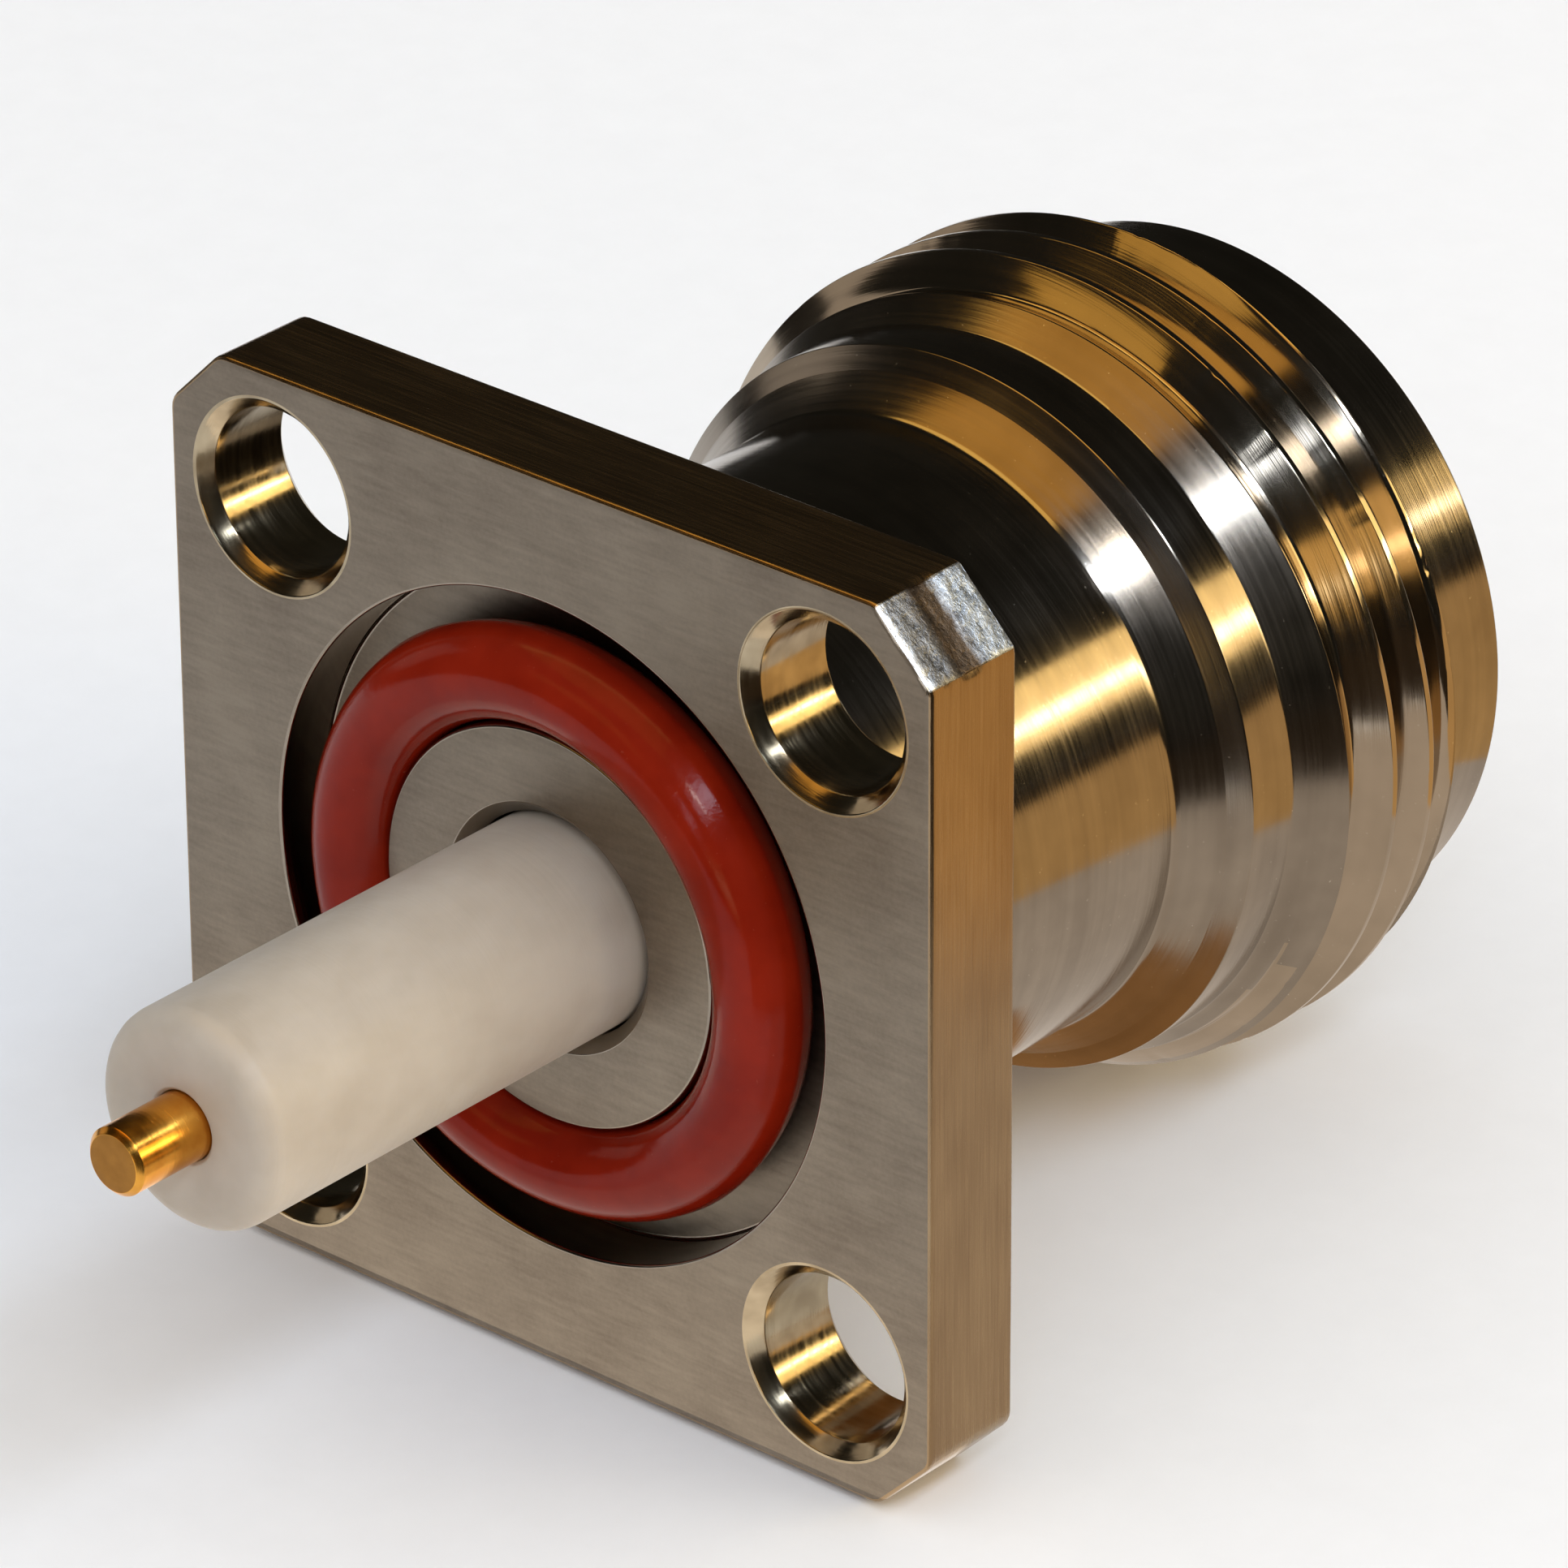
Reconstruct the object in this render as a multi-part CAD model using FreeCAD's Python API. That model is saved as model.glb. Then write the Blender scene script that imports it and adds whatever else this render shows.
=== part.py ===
import FreeCAD, Part
import math
import os

# N-type panel socket with a square flange and a long rear insulator.
# The axis is Y: the mating end points to +Y and the solder pin to -Y.
# The origin is the centre of the panel face of the flange, and +Z is up.
# All sizes are in millimetres.

# Square flange
flange_thick = 2.2
flange_corner_cut = 1.2
hole_pitch = 12.7
hole_edge = 2.4
hole_dia = 3.2
hole_break = 0.25

# Gasket groove in the panel face, and the O-ring in it
groove_land_dia = 7.6
groove_depth = 1.2
groove_room = 0.75
oring_section = 1.78
oring_ease = 0.02

# Barrel on the mating side, from the flange forwards
neck_dia = 12.0
neck_length = 8.75
flare_root_radius = 0.3
flare_length = 0.715
flare_height = 0.6
shoulder_length = 0.27
relief_depth = 0.9
relief_length = 1.1
cone_length = 1.2
thread_dia = 15.8
thread_length = 2.7
thread_pitch = 1.0583
thread_depth = 0.58
thread_root_flat = 0.12
thread_half_angle = 30
thread_grooves = 3
last_groove_inset = 0.833
thread_break = 0.25
front_ring_step = 1.0
front_ring_length = 2.45
front_break = 0.2

# Bores of the shell
outer_contact_bore_dia = 8.1
mating_depth = 9.0
bore_mouth_break = 0.3
rod_exit_break = 0.25

# Insulator
rod_dia = 4.13
rod_out = 9.2
rod_end_radius = 0.5
rod_ease = 0.05
head_length = 2.6

# Retaining bush
bush_wall = 0.55
bush_length = 3.6
bush_break = 0.12

# Centre contact
pin_dia = 1.27
pin_out = 1.65
pin_break = 0.1
shank_dia = 2.4
shank_inset = 0.7
barb_height = 0.2
barb_inset = 0.6
barb_length = 0.5
socket_dia = 3.04
socket_tip_ahead = 5.0
socket_tip_break = 0.25
socket_bore_dia = 1.65
socket_bore_depth = 5.2
socket_mouth_break = 0.15
slot_width = 0.25
slot_depth = 4.4

# Sizes that follow
flange_side = hole_pitch + 2 * hole_edge
relief_dia = thread_dia - 2 * relief_depth
front_ring_dia = thread_dia - 2 * front_ring_step
bush_bore_dia = outer_contact_bore_dia - 2 * bush_wall
barb_dia = shank_dia + 2 * barb_height
oring_radius = groove_land_dia / 2 + oring_ease + oring_section / 2
groove_outer_dia = 2 * oring_radius + oring_section + 2 * groove_room

# Places along the axis that follow, counted from the panel face
relief_start = flange_thick + neck_length
cone_start = relief_start + relief_length
cone_end = cone_start + cone_length
thread_end = cone_end + thread_length
last_groove = thread_end - last_groove_inset
front_end = thread_end + front_ring_length
reference_plane = front_end - mating_depth
head_end = reference_plane - bush_length
web_end = head_end - head_length
shank_start = web_end + shank_inset
barb_start = shank_start + barb_inset
socket_tip = reference_plane + socket_tip_ahead
pin_tip = rod_out + pin_out
oring_centre = groove_depth - oring_section / 2

axis = FreeCAD.Vector(0, 1, 0)
origin = FreeCAD.Vector(0, 0, 0)
full_turn = 360
cutter_over = 0.5


def at(radius, place):
    """Point of a turning profile: distance from the axis, place along it."""
    return FreeCAD.Vector(radius, place, 0)


def turned(edges):
    """Solid of revolution about the part's axis from closed profile edges."""
    face = Part.Face(Part.Wire(edges))
    return face.revolve(origin, axis, full_turn)


def lines(points):
    """Straight edges through the given profile points."""
    return [Part.makeLine(a, b) for a, b in zip(points, points[1:])]


def through(start, middle, end):
    """Arc through three profile points."""
    return Part.Arc(start, middle, end).toShape()


def rod(radius, start, end):
    """Plain cylinder along the axis between two places."""
    return Part.makeCylinder(radius, end - start, at(0, start), axis)


def flange_blank():
    """Square plate with its four corners cut off at 45 degrees."""
    half = flange_side / 2
    short = half - flange_corner_cut
    outline = [
        (short, half),
        (half, short),
        (half, -short),
        (short, -half),
        (-short, -half),
        (-half, -short),
        (-half, short),
        (-short, half),
    ]
    points = [FreeCAD.Vector(x, 0, z) for x, z in outline]
    points.append(points[0])
    plate = Part.Face(Part.makePolygon(points))
    return plate.extrude(FreeCAD.Vector(0, flange_thick, 0))


def hole_cutter(x, z):
    """Screw hole with both rims broken."""
    radius = hole_dia / 2
    foot = FreeCAD.Vector(x, 0, z)
    top = FreeCAD.Vector(x, flange_thick, z)
    bore = Part.makeCylinder(radius, flange_thick, foot, axis)
    near = Part.makeCone(radius + hole_break, radius, hole_break, foot, axis)
    far = Part.makeCone(radius + hole_break, radius, hole_break, top, axis.negative())
    return bore.fuse([near, far])


def barrel_blank():
    """Neck, flare, relief, thread cylinder and front ring as one turned blank."""
    neck = neck_dia / 2
    thread = thread_dia / 2
    ring = front_ring_dia / 2
    flare_end = relief_start - shoulder_length
    slope = math.atan2(flare_height, flare_length)
    tangent = flare_root_radius * math.tan(slope / 2)
    arc_start = flare_end - flare_length - tangent
    arc_points = [
        at(neck + flare_root_radius * (1 - math.cos(turn)), arc_start + flare_root_radius * math.sin(turn))
        for turn in (0, slope / 2, slope)
    ]
    before = [at(0, 0), at(neck, 0), arc_points[0]]
    arc = through(*arc_points)
    after = [
        arc_points[2],
        at(neck + flare_height, flare_end),
        at(relief_dia / 2, relief_start),
        at(relief_dia / 2, cone_start),
        at(thread, cone_end),
        at(thread, thread_end - thread_break),
        at(thread - thread_break, thread_end),
        at(ring, thread_end),
        at(ring, front_end - front_break),
        at(ring - front_break, front_end),
        at(0, front_end),
        at(0, 0),
    ]
    return turned(lines(before) + [arc] + lines(after))


def thread_groove(place):
    """Ring cutter with the thread's own form, standing in for one turn of it."""
    root = thread_dia / 2 - thread_depth
    half_root = thread_root_flat / 2
    reach = thread_depth + cutter_over
    spread = reach * math.tan(math.radians(thread_half_angle))
    points = [
        at(root, place - half_root),
        at(root + reach, place - half_root - spread),
        at(root + reach, place + half_root + spread),
        at(root, place + half_root),
        at(root, place - half_root),
    ]
    return turned(lines(points))


def shell_bores():
    """Front bore with a broken mouth, and the rod's hole with a broken rim."""
    bore = outer_contact_bore_dia / 2
    exit_hole = rod_dia / 2 + rod_ease
    points = [
        at(0, 0),
        at(exit_hole + rod_exit_break, 0),
        at(exit_hole, rod_exit_break),
        at(exit_hole, web_end),
        at(bore, web_end),
        at(bore, front_end - bore_mouth_break),
        at(bore + bore_mouth_break, front_end),
        at(0, front_end),
        at(0, 0),
    ]
    return turned(lines(points))


def gasket_groove():
    """Square-section ring groove in the panel face."""
    outer = rod(groove_outer_dia / 2, 0, groove_depth)
    land = rod(groove_land_dia / 2, 0, groove_depth)
    return outer.cut(land)


def shell_body():
    """Flange and barrel in one piece, threaded, bored, grooved and drilled."""
    barrel = barrel_blank()
    for turn in range(thread_grooves):
        barrel = barrel.cut(thread_groove(last_groove - turn * thread_pitch))
    body = flange_blank().fuse(barrel)
    body = body.cut(shell_bores())
    body = body.cut(gasket_groove())
    offset = hole_pitch / 2
    for x in (-offset, offset):
        for z in (-offset, offset):
            body = body.cut(hole_cutter(x, z))
    return body.removeSplitter()


def oring_seal():
    """Round-section ring, resting on the groove's floor around the land."""
    centre = FreeCAD.Vector(0, oring_centre, 0)
    return Part.makeTorus(oring_radius, oring_section / 2, centre, axis)


def contact_cavity():
    """Space that the centre contact fills inside the insulator."""
    pin = rod(pin_dia / 2, -rod_out, shank_start)
    shank = rod(shank_dia / 2, shank_start, head_end)
    barb = rod(barb_dia / 2, barb_start, barb_start + barb_length)
    return pin.fuse([shank, barb])


def dielectric_insulator():
    """Head that fits the shell's bore, and the long rod with a rounded end."""
    stem = rod_dia / 2
    head = outer_contact_bore_dia / 2
    round_turn = rod_end_radius * (1 - math.sqrt(0.5))
    before = [at(0, -rod_out), at(stem - rod_end_radius, -rod_out)]
    arc = through(
        at(stem - rod_end_radius, -rod_out),
        at(stem - round_turn, -rod_out + round_turn),
        at(stem, -rod_out + rod_end_radius),
    )
    after = [
        at(stem, -rod_out + rod_end_radius),
        at(stem, web_end),
        at(head, web_end),
        at(head, head_end),
        at(0, head_end),
        at(0, -rod_out),
    ]
    solid = turned(lines(before) + [arc] + lines(after))
    return solid.cut(contact_cavity())


def retaining_bush():
    """Plain ring pressed in against the insulator's head."""
    outer = outer_contact_bore_dia / 2
    inner = bush_bore_dia / 2
    points = [
        at(inner, head_end),
        at(outer, head_end),
        at(outer, reference_plane - bush_break),
        at(outer - bush_break, reference_plane),
        at(inner + bush_break, reference_plane),
        at(inner, reference_plane - bush_break),
        at(inner, head_end),
    ]
    return turned(lines(points))


def centre_contact():
    """Pin, shank with its barb, and the four-slot socket at the mating end."""
    pin = pin_dia / 2
    shank = shank_dia / 2
    barb = barb_dia / 2
    socket = socket_dia / 2
    points = [
        at(0, -pin_tip),
        at(pin - pin_break, -pin_tip),
        at(pin, -pin_tip + pin_break),
        at(pin, shank_start),
        at(shank, shank_start),
        at(shank, barb_start),
        at(barb, barb_start),
        at(barb, barb_start + barb_length),
        at(shank, barb_start + barb_length),
        at(shank, head_end),
        at(socket, head_end),
        at(socket, socket_tip - socket_tip_break),
        at(socket - socket_tip_break, socket_tip),
        at(0, socket_tip),
        at(0, -pin_tip),
    ]
    solid = turned(lines(points))
    hole = socket_bore_dia / 2
    hole_floor = socket_tip - socket_bore_depth
    bore_points = [
        at(0, hole_floor),
        at(hole, hole_floor),
        at(hole, socket_tip - socket_mouth_break),
        at(hole + socket_mouth_break, socket_tip),
        at(0, socket_tip),
        at(0, hole_floor),
    ]
    solid = solid.cut(turned(lines(bore_points)))
    slot_floor = socket_tip - slot_depth
    for across_x, across_z in ((socket_dia, slot_width), (slot_width, socket_dia)):
        corner = FreeCAD.Vector(-across_x / 2, slot_floor, -across_z / 2)
        solid = solid.cut(Part.makeBox(across_x, slot_depth, across_z, corner))
    return solid


os.makedirs("parts", exist_ok=True)
pieces = {
    "shell_body": shell_body(),
    "oring_seal": oring_seal(),
    "dielectric_insulator": dielectric_insulator(),
    "retaining_bush": retaining_bush(),
    "centre_contact": centre_contact(),
}
for name, shape in pieces.items():
    shape.exportStep("parts/" + name + ".step")
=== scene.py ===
import bisect
import math
import random

import bmesh
import bpy
from mathutils import Euler, Matrix, Vector, noise


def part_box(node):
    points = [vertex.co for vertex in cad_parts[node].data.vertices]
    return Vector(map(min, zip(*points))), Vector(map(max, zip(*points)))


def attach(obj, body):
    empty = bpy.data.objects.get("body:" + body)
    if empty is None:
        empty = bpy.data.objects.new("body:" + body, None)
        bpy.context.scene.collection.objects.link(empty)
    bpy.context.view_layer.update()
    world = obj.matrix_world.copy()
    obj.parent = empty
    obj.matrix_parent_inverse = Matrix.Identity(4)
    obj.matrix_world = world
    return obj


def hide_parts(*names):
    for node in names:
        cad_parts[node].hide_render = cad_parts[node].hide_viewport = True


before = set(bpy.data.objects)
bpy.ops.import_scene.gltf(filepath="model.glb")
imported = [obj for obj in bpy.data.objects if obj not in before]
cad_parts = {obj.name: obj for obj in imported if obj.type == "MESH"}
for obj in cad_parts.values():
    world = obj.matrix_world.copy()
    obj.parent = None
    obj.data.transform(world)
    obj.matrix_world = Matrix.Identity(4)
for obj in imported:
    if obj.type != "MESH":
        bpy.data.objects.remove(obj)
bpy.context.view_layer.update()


# Shell body
# One piece of nickel-plated brass. The back is milled square for the flange, with a groove for the
# O-ring and four countersunk screw holes, and the barrel is turned, bored and threaded in one chucking.

mm = 0.001


class Blank:
    """Points and faces of a piece while it is being shaped."""

    def __init__(self):
        self.points = []
        self.faces = []
        self.finishes = []

    def row(self, points):
        """Adds points and returns their numbers."""
        first = len(self.points)
        self.points.extend(points)
        return list(range(first, len(self.points)))

    def join(self, near, far, finish, closed=True):
        """Adds a strip of faces between two rows of the same length."""
        count = len(near)
        for i in range(count if closed else count - 1):
            j = (i + 1) % count
            self.faces.append((near[i], near[j], far[j], far[i]))
            self.finishes.append(finish)

    def cap(self, ring, middle, finish):
        """Closes a ring with a fan of faces about a middle point."""
        centre = self.row([middle])[0]
        for i in range(len(ring)):
            self.faces.append((ring[i], ring[(i + 1) % len(ring)], centre))
            self.finishes.append(finish)

    def piece(self, name, materials, flats=()):
        """Makes the object. A flat is a height where open rims are filled, and the fill's finish."""
        mesh = bpy.data.meshes.new(name)
        mesh.from_pydata(self.points, [], self.faces)
        mesh.polygons.foreach_set("material_index", self.finishes)
        work = bmesh.new()
        work.from_mesh(mesh)
        bmesh.ops.remove_doubles(work, verts=work.verts, dist=weld_distance)
        for height, finish in flats:
            rims = [edge for edge in work.edges
                    if edge.is_boundary and all(abs(v.co.y - height) < weld_distance for v in edge.verts)]
            filled = bmesh.ops.triangle_fill(work, use_beauty=True, use_dissolve=False, edges=rims)
            for item in filled["geom"]:
                if isinstance(item, bmesh.types.BMFace):
                    item.material_index = finish
        bmesh.ops.recalc_face_normals(work, faces=work.faces)
        for face in work.faces:
            face.smooth = True
        work.to_mesh(mesh)
        work.free()
        made = bpy.data.objects.new(name, mesh)
        bpy.context.scene.collection.objects.link(made)
        for material in materials:
            mesh.materials.append(material)
        even = made.modifiers.new("even normals", "WEIGHTED_NORMAL")
        even.mode = "FACE_AREA_WITH_ANGLE"
        even.weight = 60
        return made


weld_distance = 0.0001 * mm
least_slope = 0.05 * mm
arc_step = math.radians(15)


def rounded(corners, closed=False):
    """Path through corners given as (u, v, radius), with each corner turned to its radius."""
    path = []
    count = len(corners)
    for i, (u, v, radius) in enumerate(corners):
        here = Vector((u, v))
        if radius == 0 or (not closed and i in (0, count - 1)):
            path.append(here)
            continue
        back = (Vector(corners[i - 1][:2]) - here).normalized()
        ahead = (Vector(corners[(i + 1) % count][:2]) - here).normalized()
        half_angle = back.angle(ahead) / 2
        turn = math.pi - 2 * half_angle
        centre = here + (back + ahead).normalized() * (radius / math.sin(half_angle))
        start = here + back * (radius / math.tan(half_angle)) - centre
        side = 1 if back.x * ahead.y - back.y * ahead.x < 0 else -1
        steps = max(2, math.ceil(turn / arc_step))
        for k in range(steps + 1):
            bend = side * turn * k / steps
            cos, sin = math.cos(bend), math.sin(bend)
            path.append(centre + Vector((start.x * cos - start.y * sin, start.x * sin + start.y * cos)))
    return path


def circle(radius, height, sides):
    """Ring of points about the axis, starting at +X and turning towards +Z."""
    return [(radius * math.cos(math.tau * j / sides), height, radius * math.sin(math.tau * j / sides))
            for j in range(sides)]


def turned(blank, path, sides, finish, ring=None, sloped=None):
    """Turns a path of (radius, height) points about the axis, from an earlier ring if one is given."""
    for i, (radius, height) in enumerate(path):
        following = blank.row(circle(radius, height, sides))
        if ring:
            slope = sloped is not None and i > 0 and abs(radius - path[i - 1][0]) > least_slope
            blank.join(ring, following, sloped if slope else finish)
        ring = following
    return ring


low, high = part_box("shell_body")
flange_half = high.x
flange_thick = 2.2 * mm
corner_cut = 1.2 * mm
corner_round = 0.45 * mm
sheared_corner_round = 0.06 * mm
least_corner_round = 0.005 * mm
flange_edge = 0.07 * mm
hole_place = 12.7 * mm / 2
hole_radius = 1.6 * mm
countersink = 0.25 * mm
hole_edge = 0.05 * mm
groove_outer = 6.35 * mm
groove_inner = 3.8 * mm
groove_floor = 1.2 * mm
groove_edge = 0.06 * mm
neck_radius = 6.0 * mm
neck_root = 0.3 * mm
flare_start = 9.965 * mm
flare_root = 0.3 * mm
flare_radius = 6.6 * mm
flare_end = 10.68 * mm
relief_radius = 7.0 * mm
relief_start = 10.95 * mm
cone_start = 12.05 * mm
cone_end = 13.25 * mm
crest_radius = 7.9 * mm
thread_end = 15.95 * mm
thread_break = 0.25 * mm
ring_radius = 6.9 * mm
front_end = high.y
front_break = 0.2 * mm
bore_radius = 4.05 * mm
bore_break = 0.3 * mm
web_end = 3.2 * mm
rod_hole = 2.115 * mm
rod_hole_break = 0.25 * mm
soft_edge = 0.04 * mm

barrel_sides = 384
hole_sides = 72
SATIN, SAWN, TURNED, SLOPED, THREADED, BRIGHT, SHEARED = range(7)

shell = Blank()

# The barrel from the flange to the start of the thread's cone
neck_path = rounded([
    (neck_radius + 2 * neck_root, flange_thick, 0),
    (neck_radius, flange_thick, neck_root),
    (neck_radius, flare_start, flare_root),
    (flare_radius, flare_end, soft_edge),
    (relief_radius, relief_start, soft_edge),
    (relief_radius, cone_start - soft_edge, 0),
    (relief_radius, cone_start, 0),
])
flange_rim = shell.row(circle(neck_path[0][0], neck_path[0][1], barrel_sides))
barrel = turned(shell, neck_path[1:-1], barrel_sides, TURNED, flange_rim, sloped=SLOPED)

# The coupling thread, 24 turns to the inch and right-handed, cut through the cone and out at the front
thread_pitch = 25.4 / 24 * mm
crest_flat = thread_pitch / 8
thread_depth = 0.62 * mm
thread_half_angle = math.radians(30)
flank = thread_depth * math.tan(thread_half_angle)
crest_edge = 0.025 * mm
root_fillet = 0.1 * mm
crest_middle = 14.94 * mm
thread_form = rounded([
    (0, 0, 0),
    (crest_flat / 2, 0, crest_edge),
    (crest_flat / 2 + flank, thread_depth, root_fillet),
    (thread_pitch - crest_flat / 2 - flank, thread_depth, root_fillet),
    (thread_pitch - crest_flat / 2, 0, crest_edge),
    (thread_pitch, 0, 0),
])
form_places = [place for place, depth in thread_form]

nick_count = 70
nick_random = random.Random(24)
crest_nicks = [
    (nick_random.uniform(0, math.tau), nick_random.choice((-1, 0, 1, 2)),
     nick_random.uniform(0.03, 0.06) * mm, nick_random.uniform(0.01, 0.03) * mm)
    for nick in range(nick_count)
]


def cut_depth(place):
    """Depth of the thread below its crests, at a place measured from a crest's middle."""
    along = place % thread_pitch
    i = min(max(bisect.bisect_right(form_places, along), 1), len(thread_form) - 1)
    (start, low_depth), (end, high_depth) = thread_form[i - 1], thread_form[i]
    share = (along - start) / (end - start) if end > start else 0
    return low_depth + (high_depth - low_depth) * share


def blank_radius(height):
    """Radius of the bar before the thread is cut: the cone, the full diameter and the broken end."""
    cone = (height - cone_start) / (cone_end - cone_start)
    on_cone = relief_radius + (crest_radius - relief_radius) * min(max(cone, 0), 1)
    return min(on_cone, crest_radius - max(0, height - (thread_end - thread_break)))


def nick_depth(angle, height, rear_edge):
    """Depth of the small dents that handling leaves on the crests' rear edges."""
    depth = 0
    for at, turn, size, deep in crest_nicks:
        around = abs((angle - at + math.pi) % math.tau - math.pi) * crest_radius
        if around < 2 * size:
            along = height - (rear_edge + turn * thread_pitch)
            depth += deep * math.exp(-(around / size) ** 2 - (along / size) ** 2)
    return depth


def thread_point(angle, height):
    """Point of the threaded surface at an angle from +X and a height along the axis."""
    middle = crest_middle - thread_pitch * angle / math.tau
    radius = min(crest_radius - cut_depth(height - middle), blank_radius(height))
    radius -= nick_depth(angle, height, middle - crest_flat / 2)
    return (radius * math.cos(angle), height, radius * math.sin(angle))


cone_slack = 0.02 * mm


def on_cone(point):
    """Whether a point lies on the cone behind the thread, where no groove has cut it."""
    x, y, z = point
    return y < cone_end + weld_distance and math.hypot(x, z) > blank_radius(y) - cone_slack


column_angles = [math.tau * j / barrel_sides for j in range(barrel_sides + 1)]
first_turn = math.floor((cone_start - crest_middle) / thread_pitch)
last_turn = math.ceil((thread_end - crest_middle) / thread_pitch) + 1
thread_rows = [crest_middle + turn * thread_pitch + place
               for turn in range(first_turn, last_turn) for place in form_places[:-1]]
level_rows = [cone_start, cone_start + soft_edge, cone_end - soft_edge, cone_end, cone_end + soft_edge,
              thread_end - thread_break - soft_edge, thread_end - thread_break,
              thread_end - thread_break + soft_edge, thread_end - soft_edge, thread_end]
columns = []
for angle in column_angles:
    turned_rows = [min(max(height - thread_pitch * angle / math.tau, cone_start), thread_end)
                   for height in thread_rows]
    columns.append([thread_point(angle, height) for height in sorted(turned_rows + level_rows)])
previous = None
for row in zip(*columns):
    following = shell.row(row)
    if previous:
        shell.join(previous, following, THREADED, closed=False)
        for j in range(barrel_sides):
            corners = [shell.points[i] for i in shell.faces[j - barrel_sides]]
            if all(on_cone(corner) for corner in corners):
                shell.finishes[j - barrel_sides] = SLOPED
    else:
        shell.join(barrel, following[:-1], TURNED)
    previous = following
last_row = previous

# The front ring, the mating bore, the web and the rod's hole, back to the land in the panel face
front_path = rounded([
    (ring_radius + 3 * soft_edge, thread_end, 0),
    (ring_radius, thread_end, soft_edge),
    (ring_radius, front_end - front_break, soft_edge),
    (ring_radius - front_break, front_end, soft_edge),
    (bore_radius + bore_break, front_end, soft_edge),
    (bore_radius, front_end - bore_break, soft_edge),
    (bore_radius, web_end, soft_edge),
    (rod_hole, web_end, soft_edge),
    (rod_hole, rod_hole_break, soft_edge),
    (rod_hole + rod_hole_break, 0, soft_edge),
    (groove_inner, 0, groove_edge),
    (groove_inner, groove_floor, groove_edge),
    (groove_outer, groove_floor, groove_edge),
    (groove_outer, 0, groove_edge),
    (groove_outer + 2 * groove_edge, 0, 0),
])
turned(shell, front_path, barrel_sides, TURNED, last_row[:-1])
for k, face in enumerate(shell.faces):
    for height in (0, groove_floor):
        if all(abs(shell.points[i][1] - height) < weld_distance for i in face):
            shell.finishes[k] = SATIN


def flange_path(inset):
    """The flange's square outline with its corners cut, moved in by an inset, as (x, z) points."""
    half = flange_half - inset
    short = flange_half - corner_cut - inset * (math.sqrt(2) - 1)
    soft = corner_round - inset
    sharp = max(sheared_corner_round - inset / 2, least_corner_round)
    corners = [
        (half, short, sharp), (short, half, sharp),
        (-short, half, soft), (-half, short, soft),
        (-half, -short, soft), (-short, -half, soft),
        (short, -half, soft), (half, -short, soft),
    ]
    return rounded(corners, closed=True)


side_step = 0.12 * mm
outer_path = flange_path(0)
side_parts = [max(1, round((ahead - here).length / side_step))
              for here, ahead in zip(outer_path, outer_path[1:] + outer_path[:1])]


def flange_outline(inset):
    """The same outline with each of its sides divided into parts."""
    path = flange_path(inset)
    outline = []
    for here, ahead, parts in zip(path, path[1:] + path[:1], side_parts):
        outline.extend(here.lerp(ahead, k / parts) for k in range(parts))
    return outline


shear_cut = 0.02 * mm
shear_trough = 0.045 * mm
shear_roughness = 0.03 * mm
shear_grain = 0.16 * mm
trough_half_width = 0.13


def on_sheared_corner(x, z):
    """Whether a place on the flange's outline lies on the corner that was broken off, not milled."""
    return x > 0 and z > 0 and x + z > 2 * flange_half - corner_cut - 2 * flange_edge


def shear_depth(x, z, height):
    """How far the sheared corner is torn in: a shallow trough along its middle and a rough break."""
    if not on_sheared_corner(x, z):
        return 0
    along = (x - z) / (corner_cut * math.sqrt(2))
    up = height / flange_thick
    trough = math.exp(-((up - 0.5 + 0.05 * along) / trough_half_width) ** 4)
    rough = noise.fractal(Vector((x, height * 0.6, z)) / shear_grain, 0.7, 2.0, 4)
    return shear_cut + shear_trough * trough + shear_roughness * abs(rough)


flat_margin = 0.12 * mm
side_rows = 28
wall_heights = [flange_edge + (flange_thick - 2 * flange_edge) * k / side_rows for k in range(side_rows + 1)]
edge_turns = [math.radians(a) for a in (0, 22.5, 45, 67.5)]
wall = [(flange_edge + flat_margin, 0)]
wall += [(flange_edge * (1 - math.sin(a)), flange_edge * (1 - math.cos(a))) for a in edge_turns]
wall += [(0, height) for height in wall_heights]
wall += [(flange_edge * (1 - math.sin(a)), flange_thick - flange_edge * (1 - math.cos(a)))
         for a in reversed(edge_turns)]
wall += [(flange_edge + flat_margin, flange_thick)]
previous = None
for i, (inset, height) in enumerate(wall):
    outline = flange_outline(inset)
    ring = []
    for x, z in outline:
        torn = shear_depth(x, z, height) if inset < flange_edge else 0
        ring.append((x - torn * math.sqrt(0.5), height, z - torn * math.sqrt(0.5)))
    following = shell.row(ring)
    if previous:
        flat = i in (1, len(wall) - 1)
        shell.join(previous, following, SATIN if flat else SAWN)
        for k in range(len(ring)):
            here, ahead = outline[k], outline[(k + 1) % len(ring)]
            if not flat and on_sheared_corner(*here) and on_sheared_corner(*ahead):
                shell.finishes[k - len(ring)] = SHEARED
    previous = following

hole_path = rounded([
    (hole_radius + countersink + hole_edge, 0, 0),
    (hole_radius + countersink, 0, hole_edge),
    (hole_radius, countersink, hole_edge),
    (hole_radius, flange_thick - countersink, hole_edge),
    (hole_radius + countersink, flange_thick, hole_edge),
    (hole_radius + countersink + hole_edge, flange_thick, 0),
])
for across in (-hole_place, hole_place):
    for up in (-hole_place, hole_place):
        previous = None
        for radius, height in hole_path:
            ring = [(across + x, y, up + z) for x, y, z in circle(radius, height, hole_sides)]
            following = shell.row(ring)
            if previous:
                shell.join(previous, following, BRIGHT)
            previous = following


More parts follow.
